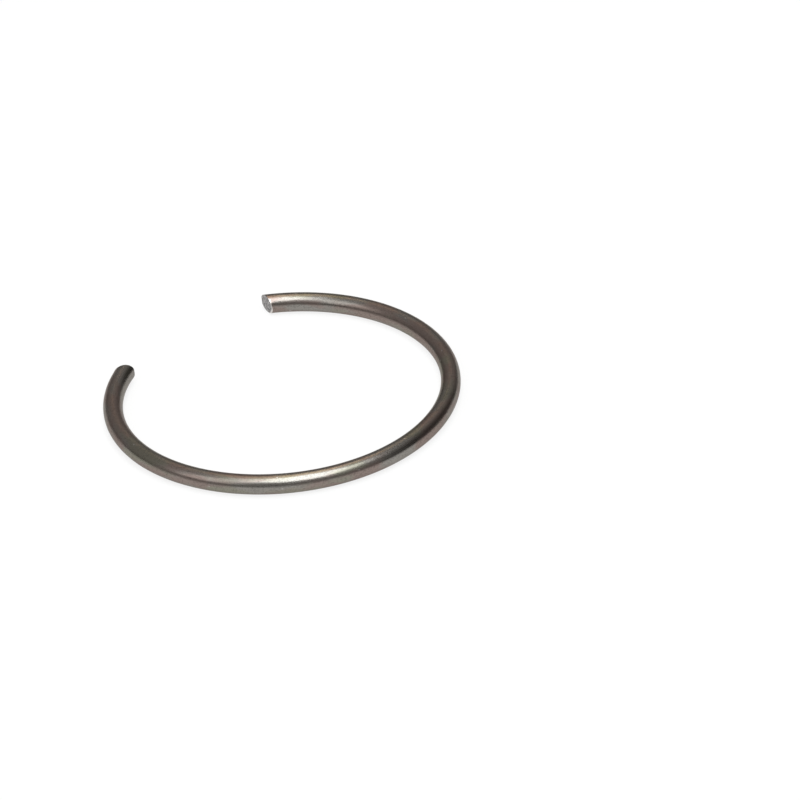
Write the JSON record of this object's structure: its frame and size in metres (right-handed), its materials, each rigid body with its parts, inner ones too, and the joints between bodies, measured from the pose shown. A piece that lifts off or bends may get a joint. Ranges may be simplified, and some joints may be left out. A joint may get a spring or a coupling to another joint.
{
  "type": "circlip retaining ring",
  "caption": "Open ring of round spring wire with slanted cropped ends, sprung into a groove in a bore to stop a pin from sliding out.",
  "frame": {"origin": "centre of the ring's main bend, in the mid-plane of the wire", "axes": "+Z along the ring's axis; +Y from the centre through the middle of the gap; +X completes the frame, with the untightened end on its side of the gap"},
  "size_m": [0.0218, 0.0202, 0.0012],
  "materials": {
    "spring_steel": "satin"
  },
  "bodies": {
    "root": {"ring": "spring_steel"}
  },
  "joints": []
}
